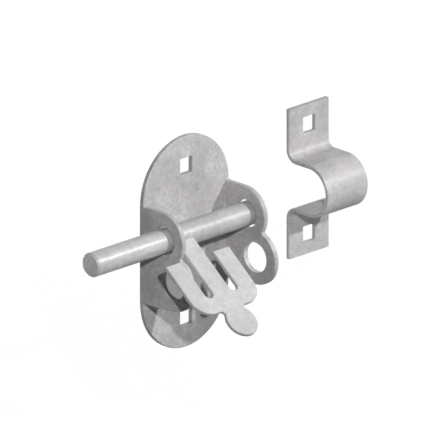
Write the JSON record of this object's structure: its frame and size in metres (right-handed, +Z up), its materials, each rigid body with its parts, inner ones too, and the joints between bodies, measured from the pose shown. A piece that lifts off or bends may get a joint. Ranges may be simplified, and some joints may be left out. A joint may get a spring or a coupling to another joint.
{
  "type": "padbolt",
  "caption": "Galvanised padbolt: folded backplate with two ears, sliding round bar with a slotted handle that drops over a padlock eye, and a bent strap keep.",
  "frame": {"origin": "centre of the backplate's back face, on the wall plane", "axes": "+X along the bar towards the keep, +Y into the wall, +Z up"},
  "size_m": [0.2339, 0.0895, 0.142],
  "materials": {
    "galvanised_plate": "hot-dip galvanised",
    "galvanised_bar": "hot-dip galvanised",
    "galvanised_strap": "hot-dip galvanised"
  },
  "bodies": {
    "frame": {"backplate": "galvanised_plate", "keep": "galvanised_strap"},
    "bolt": {"bolt_rod": "galvanised_bar"},
    "handle": {"handle": "galvanised_plate"}
  },
  "joints": [
    {"name": "bolt_slide", "type": "slide", "parent": "frame", "child": "bolt", "axis": [1, 0, 0], "range_m": [0, 0.0532]},
    {"name": "handle_turn", "type": "hinge", "parent": "bolt", "child": "handle", "pos_m": [0, -0.0221, 0.0145], "axis": [1, 0, 0], "range_deg": [-140.3, 65]}
  ]
}
